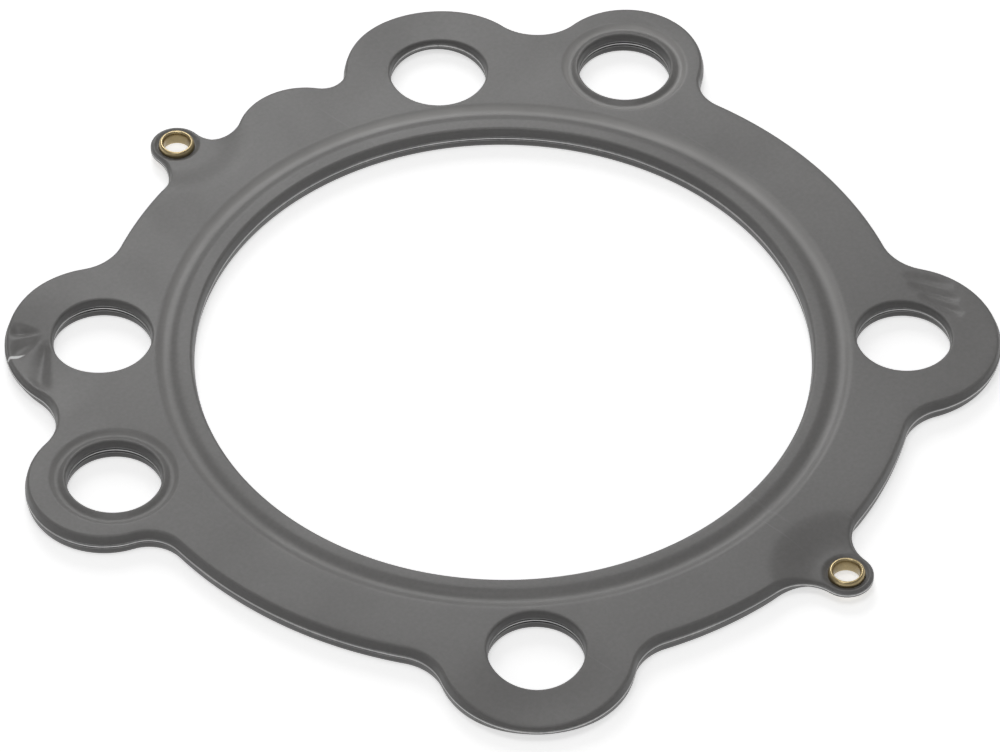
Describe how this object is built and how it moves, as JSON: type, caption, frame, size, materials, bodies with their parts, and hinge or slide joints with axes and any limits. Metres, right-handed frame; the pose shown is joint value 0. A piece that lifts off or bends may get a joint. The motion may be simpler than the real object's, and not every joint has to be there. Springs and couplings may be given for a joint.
{
  "type": "cylinder head gasket",
  "caption": "Multi-layer steel cylinder head gasket: two beaded, coated sheets with a flat shim between them, held together by rolled brass eyelets.",
  "frame": {"origin": "on the axis of the cylinder bore, level with the gasket's underside", "axes": "+Z along the bore, from the cylinder to the head; +Y from the wide pair of bolt holes to the narrow pair, through both eyelets"},
  "size_m": [0.1508, 0.1504, 0.0039],
  "materials": {
    "coated_sheet": "satin",
    "shim_steel": "satin",
    "eyelet_brass": "polished"
  },
  "bodies": {
    "root": {"top_sheet": "coated_sheet", "middle_shim": "shim_steel", "bottom_sheet": "coated_sheet", "eyelet_1": "eyelet_brass", "eyelet_2": "eyelet_brass"}
  },
  "joints": []
}
